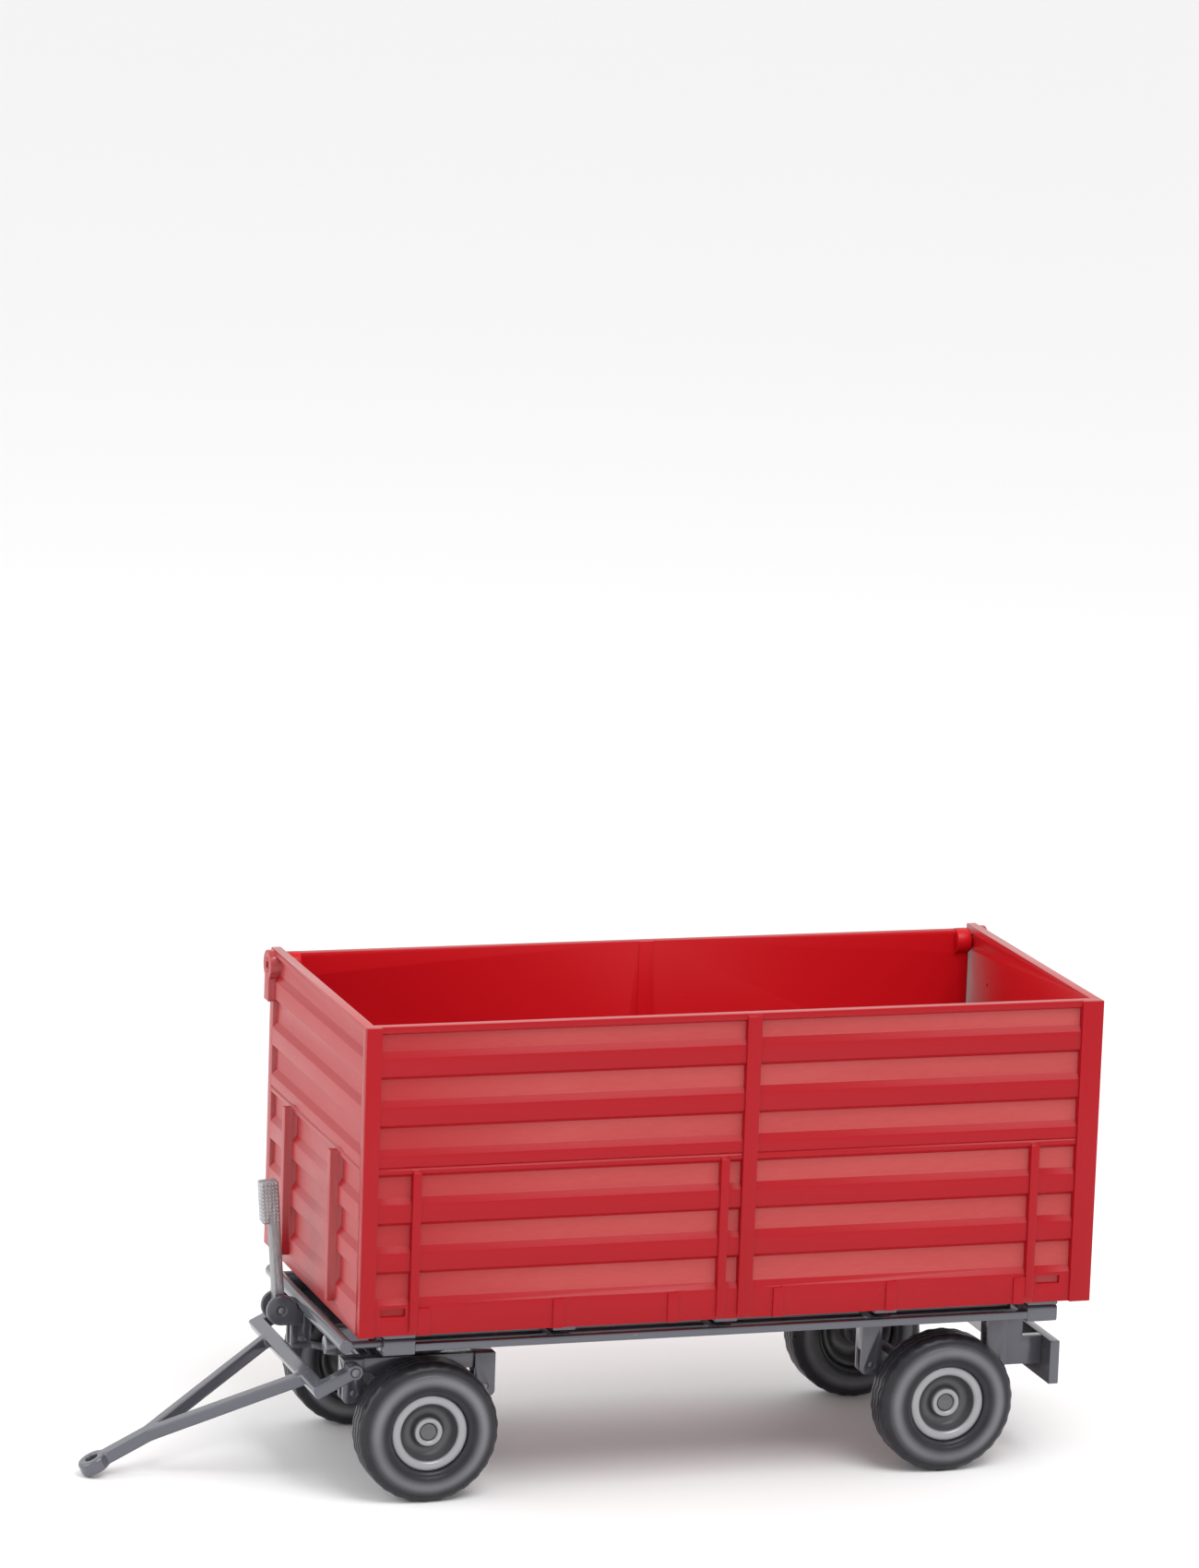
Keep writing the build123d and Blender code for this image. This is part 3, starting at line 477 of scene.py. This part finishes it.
def turned(points, steps):
    """A ring turned about the Y axis from a closed outline of (radius, y), in millimetres."""
    alone()
    bpy.ops.mesh.primitive_circle_add(vertices=len(points), radius=MM)
    piece = bpy.context.object
    for vertex, (radius, out) in zip(piece.data.vertices, points):
        vertex.co = (radius * MM, out * MM, 0)
    bpy.ops.object.mode_set(mode="EDIT")
    bpy.ops.mesh.select_all(action="SELECT")
    bpy.ops.mesh.spin(steps=steps, angle=2 * math.pi, center=(0, 0, 0), axis=(0, 1, 0))
    bpy.ops.mesh.select_all(action="SELECT")
    bpy.ops.mesh.remove_doubles(threshold=1e-6)
    bpy.ops.mesh.normals_make_consistent(inside=False)
    bpy.ops.object.mode_set(mode="OBJECT")
    return piece


def copied(piece, centre, side):
    """A copy with its own mesh, its outer face turned to the given side."""
    twin = mesh_copy(piece, piece.name)
    twin.location = centre
    if side < 0:
        twin.rotation_euler = (0, 0, math.pi)
    place_in_mesh(twin)
    return twin


# ---------------------------------------------------------------- settings

class TrailerLook(bpy.types.PropertyGroup):
    """Sizes and colours that a user would change."""
    red: bpy.props.FloatVectorProperty(
        name="Box red", description="Colour of the moulded box", subtype="COLOR",
        default=(0.33, 0.004, 0.009), min=0, max=1)
    # Painted reflection: the pale red painted where the walls' recesses and the rim's top reflect light.
    reflection_red: bpy.props.FloatVectorProperty(
        name="Recess red", description="Paler colour in the walls' recesses", subtype="COLOR",
        default=(0.52, 0.13, 0.12), min=0, max=1)
    # Painted light: the brighter red painted on the box's inner faces for the light falling inside it.
    inner_lit_red: bpy.props.FloatVectorProperty(
        name="Inner red", description="Colour of the box's inner faces", subtype="COLOR",
        default=(0.5, 0.006, 0.011), min=0, max=1)
    # How strongly the painted reflection shows on the side walls' recesses.
    recess_paleness: bpy.props.FloatProperty(
        name="Recess paleness", description="How much of the paler red shows", default=0.46,
        subtype="FACTOR", min=0, max=1)
    chassis: bpy.props.FloatVectorProperty(
        name="Chassis grey", description="Colour of the painted chassis", subtype="COLOR",
        default=(0.098, 0.1, 0.12), min=0, max=1)
    rim: bpy.props.FloatVectorProperty(
        name="Rim grey", description="Colour of the wheels' rings", subtype="COLOR",
        default=(0.31, 0.31, 0.325), min=0, max=1)
    floor_white: bpy.props.FloatProperty(
        name="Floor", description="How pale the floor is", default=0.9, subtype="FACTOR", min=0, max=1)
    edge_round: bpy.props.FloatProperty(
        name="Edge round", description="Rounding of moulded edges, in millimetres", default=0.14,
        min=0.02, max=0.4)
    wheel_steps: bpy.props.IntProperty(
        name="Wheel steps", description="Faces round a wheel", default=120, min=48, max=240)


# ---------------------------------------------------------------- the box

class TRAILER_OT_box(bpy.types.Operator):
    """Moulded floor, walls and flap"""
    bl_idname = "trailer.box"
    bl_label = "Box"

    def execute(self, context):
        look = context.scene.trailer_look
        side_recess = -BOX_LOW.y - SIDE_RECESS
        # Both wall finishes paint a pale reflection on their recesses' flat faces. The end walls'
        # reflection is weaker.
        side = red_plastic("red_side", 1, (side_recess - 0.4 * MM, side_recess + 0.5 * MM))
        end_out = BOX_LENGTH / 2
        end = red_plastic("red_end", 0, (end_out - END_RECESS - 0.4 * MM, end_out + 2 * MM),
                          BOX_MIDDLE_X, specular=0.8, paleness=0.3)
        plain = red_plastic("red_plain")
        finish_nodes(["near_wall", "side_flap"], look.edge_round, side)
        finish_nodes(["front_wall", "rear_wall"], look.edge_round, end)
        finish_nodes(["tub_floor", "flap_hinge_pins"], look.edge_round, plain)
        return {"FINISHED"}


# ---------------------------------------------------------------- chassis, bogie and drawbar

class TRAILER_OT_chassis(bpy.types.Operator):
    """Rails, cross members, blocks, hangers and the rear plate"""
    bl_idname = "trailer.chassis"
    bl_label = "Chassis"

    def execute(self, context):
        paint = chassis_paint("chassis_paint")
        round_edges = context.scene.trailer_look.edge_round
        bodies = frame["record"]["behaviour"]["bodies"]
        for body in ("chassis", "bogie", "tub"):
            nodes = [node for node in bodies[body]
                     if slot_of_node(node) == "chassis_grey" and node != "lever_bracket"]
            finish_nodes(nodes, round_edges, paint)
        return {"FINISHED"}


class TRAILER_OT_springs(bpy.types.Operator):
    """Leaf springs and the pins"""
    bl_idname = "trailer.springs"
    bl_label = "Springs and pins"

    def execute(self, context):
        steel = dark_steel("dark_steel")
        nodes = [part["node"] for part in frame["record"]["subparts"]
                 if part["material_slot"] == "dark_steel"]
        finish_nodes(nodes, 0.08, steel)
        return {"FINISHED"}


class TRAILER_OT_drawbar(bpy.types.Operator):
    """Cross bar, legs, arms, stem and towing eye, as one casting"""
    bl_idname = "trailer.drawbar"
    bl_label = "Drawbar"

    def execute(self, context):
        nodes = frame["record"]["behaviour"]["bodies"]["drawbar"]
        casting = cast_copy(nodes, 0.25, 4)
        # Painted light: the drawbar's copy of the grey paint is made lighter.
        finish_piece(casting, "drawbar_casting", "drawbar", "chassis_grey",
                     chassis_paint("drawbar_paint", 1.1), nodes)
        return {"FINISHED"}


# ---------------------------------------------------------------- hand lever

LEVER_LEAN = math.radians(4.5)
GRIP_MIDDLE = Vector((-0.85, 0, 23.9)) * MM     # from the lever's pivot, before it leans
GRIP_HALF = Vector((2.0, 1.5, 4.7)) * MM
STUD_ROWS = 11
ROW_STEP = 0.82 * MM
COLUMN_STEP = 0.76 * MM


def stud_places(face, side):
    """Where the studs of one long face of the grip stand, from its middle, and which way they point."""
    across = 1 - face
    outward = Vector((0, 0, 0))
    outward[face] = side
    count = 5 if across == 0 else 3
    for column in range(count):
        for row in range(STUD_ROWS):
            place = Vector((0, 0, (row - (STUD_ROWS - 1) / 2) * ROW_STEP))
            place[across] = (column - (count - 1) / 2) * COLUMN_STEP
            place[face] = side * GRIP_HALF[face]
            yield place, outward


def knurling():
    """Rows of small pyramids on the four long faces of the grip, leaning as the lever does."""
    alone()
    bpy.ops.mesh.primitive_cone_add(vertices=4, radius1=0.46 * MM, radius2=0.1 * MM, depth=0.3 * MM)
    stud = bpy.context.object
    bpy.ops.object.mode_set(mode="EDIT")
    bpy.ops.mesh.select_all(action="SELECT")
    bpy.ops.mesh.normals_make_consistent(inside=False)
    bpy.ops.object.mode_set(mode="OBJECT")
    lean = Matrix.Translation(centre_of("lever_pin")) @ Matrix.Rotation(-LEVER_LEAN, 4, "Y")
    studs = []
    for face, side in ((0, -1), (0, 1), (1, -1), (1, 1)):
        for place, outward in stud_places(face, side):
            turn = outward.to_track_quat("Z", "X").to_matrix().to_4x4()
            twin = mesh_copy(stud, "stud")
            twin.matrix_world = lean @ Matrix.Translation(GRIP_MIDDLE + place) @ turn
            studs.append(twin)
    bpy.data.objects.remove(stud)
    grip = joined(studs)
    place_in_mesh(grip)
    return grip


class TRAILER_OT_lever(bpy.types.Operator):
    """Bare metal lever with a knurled grip, and its forked bracket"""
    bl_idname = "trailer.lever"
    bl_label = "Hand lever"

    def execute(self, context):
        zinc = bare_zinc("bare_zinc")
        finish_nodes(["hand_lever"], 0.35, zinc, 3)
        finish_piece(knurling(), "lever_knurling", "lever", "bare_zinc", zinc)
        # Painted shade: the bracket's copy of the grey paint is made darker.
        finish_piece(cast_copy(["lever_bracket"], 0.2, 4), "lever_bracket_casting",
                     body_of_node("lever_bracket"), "chassis_grey",
                     chassis_paint("bracket_paint", 0.7), ["lever_bracket"])
        return {"FINISHED"}


# ---------------------------------------------------------------- wheels

def tyre_outline(radius, half):
    """Outline of the tyre's section, as (radius, y) in millimetres, going round once."""
    flank = [(8.43, 3.4), (8.5, 3.95), (8.85, 4.35), (9.3, 4.5), (9.55, 4.42), (9.8, 4.6),
             (10.5, half - 0.06), (11.3, half), (12.2, half - 0.1), (12.9, 4.55), (13.05, 4.38),
             (13.3, 4.36), (13.5, 4.4), (14.2, 4.1), (14.8, 3.7), (15.15, 3.35), (15.33, 3.0)]
    flank = [(bead, min(out, half)) for bead, out in flank]
    groove_depth, groove_half = 0.42, 0.16
    crown = [(radius, 2.75)]
    for middle in (1.75, 0.0):
        crown += [(radius, middle + groove_half + 0.12), (radius - groove_depth, middle + groove_half),
                  (radius - groove_depth, middle - groove_half), (radius, middle - groove_half - 0.12)]
    outer = flank + crown[:-2]
    mirrored = [(bead, -out) for bead, out in reversed(outer)]
    return outer + mirrored


TREAD_HALF = 2.2            # millimetres either side of the middle that zigzag
SHOULDER = (2.6, 3.9)       # where the notches are, in millimetres from the middle
NOTCH_DEPTH = 0.13
ZIGZAG = (0.0, 0.28, 0.0, -0.28)


class TRAILER_OT_tyres(bpy.types.Operator):
    """Tyres with zigzag grooves and notched shoulders"""
    bl_idname = "trailer.tyres"
    bl_label = "Tyres"

    def execute(self, context):
        look = context.scene.trailer_look
        rubber = {axle: tyre_rubber(f"tyre_rubber_{axle}", centre_of(f"tyre_{axle}_near"))
                  for axle in AXLES}
        low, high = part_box("tyre_front_near")
        radius = (high.z - low.z) / 2 / MM
        half = (high.y - low.y) / 2 / MM
        master = turned(tyre_outline(radius, half), look.wheel_steps)
        step_angle = 2 * math.pi / look.wheel_steps
        for vertex in master.data.vertices:
            out = vertex.co.y / MM
            reach = math.hypot(vertex.co.x, vertex.co.z) / MM
            step = round(math.atan2(vertex.co.z, vertex.co.x) / step_angle)
            if abs(out) < TREAD_HALF and reach > radius - 0.6:
                vertex.co.y += ZIGZAG[step % 4] * MM
            elif step % 4 in (0, 1) and SHOULDER[0] < abs(out) < SHOULDER[1] and reach > 14:
                shrink = 1 - NOTCH_DEPTH / reach
                vertex.co.x *= shrink
                vertex.co.z *= shrink
        alone(master)
        bpy.ops.object.shade_smooth_by_angle(angle=math.radians(38))
        for axle in AXLES:
            for side_name, side in SIDES.items():
                node = f"tyre_{axle}_{side_name}"
                tyre = copied(master, centre_of(node), side)
                finish_piece(tyre, node + "_treaded", body_of_node(node), "tyre", rubber[axle],
                             [node])
        bpy.data.objects.remove(master)
        return {"FINISHED"}


RIM_OUTLINE = [
    (1.25, 1.85), (1.9, 1.85), (1.95, 2.6), (2.08, 2.95), (2.5, 3.1), (2.95, 2.95), (3.12, 2.5),
    (3.2, 1.3), (3.5, 0.8), (4.2, 0.62), (5.2, 0.8), (5.85, 1.5), (6.2, 2.5), (6.3, 3.25), (6.5, 3.7),
    (6.85, 3.88), (7.5, 3.9), (8.05, 3.8), (8.3, 3.55), (8.4, 3.1), (8.4, -3.1), (8.25, -3.6),
    (7.7, -3.88), (7.1, -3.6), (6.5, -1.5), (5.5, -0.62), (4.0, -0.6), (3.2, -0.9), (3.1, -3.3),
    (2.8, -3.55), (1.25, -3.55)]


CAP_OUTLINE = [
    (0.02, 2.55), (0.9, 2.5), (1.1, 2.62), (1.5, 2.72), (1.78, 2.62), (1.88, 2.4), (1.88, 1.95),
    (0.02, 1.95)]


class TRAILER_OT_rims(bpy.types.Operator):
    """Rims with a bright ring, a dish and inboard faces painted darker as shade, and a hub cap"""
    bl_idname = "trailer.rims"
    bl_label = "Rims"

    def execute(self, context):
        look = context.scene.trailer_look
        bright = rim_plastic("rim_ring", look.rim, 0.35)
        # Painted shade: the dish material is a darker copy of the rim grey. It goes on the dish and on the
        # inboard faces as shade in the recess and behind the rim.
        dish = rim_plastic("rim_dish_painted_shade", shade(look.rim, 0.3)[:3], 0.35)
        dark = rim_plastic("hub_cap", shade(look.rim, 0.38)[:3], 0.5)
        master = turned(RIM_OUTLINE, look.wheel_steps)
        master.data.materials.append(bright)
        master.data.materials.append(dish)
        for face in master.data.polygons:
            reach = math.hypot(face.center.x, face.center.z) / MM
            out = face.center.y / MM
            in_dish = 3.14 < reach < 6.33 and -0.6 < out < 3.4
            face.material_index = 1 if in_dish or out < -0.5 else 0
        alone(master)
        bpy.ops.object.shade_smooth_by_angle(angle=math.radians(50))
        cap = turned(CAP_OUTLINE, 64)
        alone(cap)
        bpy.ops.object.shade_smooth_by_angle(angle=math.radians(50))
        for axle in AXLES:
            for side_name, side in SIDES.items():
                node = f"rim_{axle}_{side_name}"
                body = body_of_node(node)
                middle = centre_of(f"tyre_{axle}_{side_name}")
                rim = copied(master, middle, side)
                finish_piece(rim, node + "_dished", body, "rim_grey", None, [node])
                cap_node = f"cap_{axle}_{side_name}"
                hub = copied(cap, middle, side)
                finish_piece(hub, cap_node + "_turned", body, "hub_grey", dark, [cap_node])
        bpy.data.objects.remove(master)
        bpy.data.objects.remove(cap)
        return {"FINISHED"}


# ---------------------------------------------------------------- stage

CAMERA_TARGET = Vector((0.0035, 0, 0.1486))
CAMERA_DISTANCE = 1.437
CAMERA_TURN = math.radians(-17.85)
CAMERA_LIFT = math.radians(11.12)
CAMERA_ROLL = math.radians(2.0)
CAMERA_LENS = 153.2         # millimetres, on a sensor 36 mm wide


class TRAILER_OT_stage(bpy.types.Operator):
    """Pale floor, soft studio light and the camera"""
    bl_idname = "trailer.stage"
    bl_label = "Stage"

    def panel_light(self, name, place, target, size, power):
        """A square soft light aimed at a target."""
        alone()
        bpy.ops.object.light_add(type="AREA", location=place)
        light = bpy.context.object
        light.name = name
        light.data.size = size
        light.data.energy = power
        light.rotation_euler = (Vector(target) - Vector(place)).to_track_quat("-Z", "Y").to_euler()
        return light

    def execute(self, context):
        scene = context.scene
        alone()
        bpy.ops.mesh.primitive_plane_add(size=8, location=(0, 0, 0))
        floor = context.object
        floor.name = "floor"
        floor.data.materials.append(floor_paint("floor_paint"))
        world = bpy.data.worlds.new("studio")
        world.use_nodes = True
        background = world.node_tree.nodes["Background"]
        background.inputs["Color"].default_value = (1, 1, 1, 1)
        background.inputs["Strength"].default_value = 1.0
        scene.world = world
        scene.view_settings.view_transform = "Standard"
        middle = (CAD_LOW + CAD_HIGH) / 2
        self.panel_light("key", (0.15, -0.6, 1.0), middle, 0.6, 7)
        self.panel_light("left_fill", (-1.0, 0.1, 0.5), middle, 0.8, 4)
        level = math.cos(CAMERA_LIFT)
        back = Vector((math.sin(CAMERA_TURN) * level, -math.cos(CAMERA_TURN) * level,
                       math.sin(CAMERA_LIFT)))
        camera_data = bpy.data.cameras.new("camera")
        camera = bpy.data.objects.new("camera", camera_data)
        scene.collection.objects.link(camera)
        camera.location = CAMERA_TARGET + back * CAMERA_DISTANCE
        aim = (-back).to_track_quat("-Z", "Y").to_matrix()
        roll = Matrix.Rotation(CAMERA_ROLL, 3, "Z")
        camera.rotation_euler = (aim @ roll).to_euler()
        camera_data.sensor_width = 36
        camera_data.lens = CAMERA_LENS
        camera_data.clip_start = 0.05
        camera_data.clip_end = 20
        scene.camera = camera
        return {"FINISHED"}


class TRAILER_PT_panel(bpy.types.Panel):
    """Lists the trailer's operators and settings"""
    bl_idname = "TRAILER_PT_panel"
    bl_label = "Trailer"
    bl_space_type = "VIEW_3D"
    bl_region_type = "UI"
    bl_category = "Trailer"

    def draw(self, context):
        look = context.scene.trailer_look
        for name in TrailerLook.__annotations__:
            self.layout.prop(look, name)
        for operator in OPERATORS:
            self.layout.operator(operator.bl_idname)


OPERATORS = (TRAILER_OT_box, TRAILER_OT_chassis, TRAILER_OT_springs, TRAILER_OT_drawbar,
             TRAILER_OT_lever, TRAILER_OT_tyres, TRAILER_OT_rims, TRAILER_OT_stage)
CLASSES = (TrailerLook, *OPERATORS, TRAILER_PT_panel)


def register():
    """Add the settings, operators and panel."""
    for cls in CLASSES:
        bpy.utils.register_class(cls)
    bpy.types.Scene.trailer_look = bpy.props.PointerProperty(type=TrailerLook)


def unregister():
    """Take them away again."""
    del bpy.types.Scene.trailer_look
    for cls in reversed(CLASSES):
        bpy.utils.unregister_class(cls)


def main():
    """Build everything in order."""
    register()
    bpy.ops.trailer.box()
    bpy.ops.trailer.chassis()
    bpy.ops.trailer.springs()
    bpy.ops.trailer.drawbar()
    bpy.ops.trailer.lever()
    bpy.ops.trailer.tyres()
    bpy.ops.trailer.rims()
    bpy.ops.trailer.stage()
    alone()


if __name__ == "__main__":
    main()
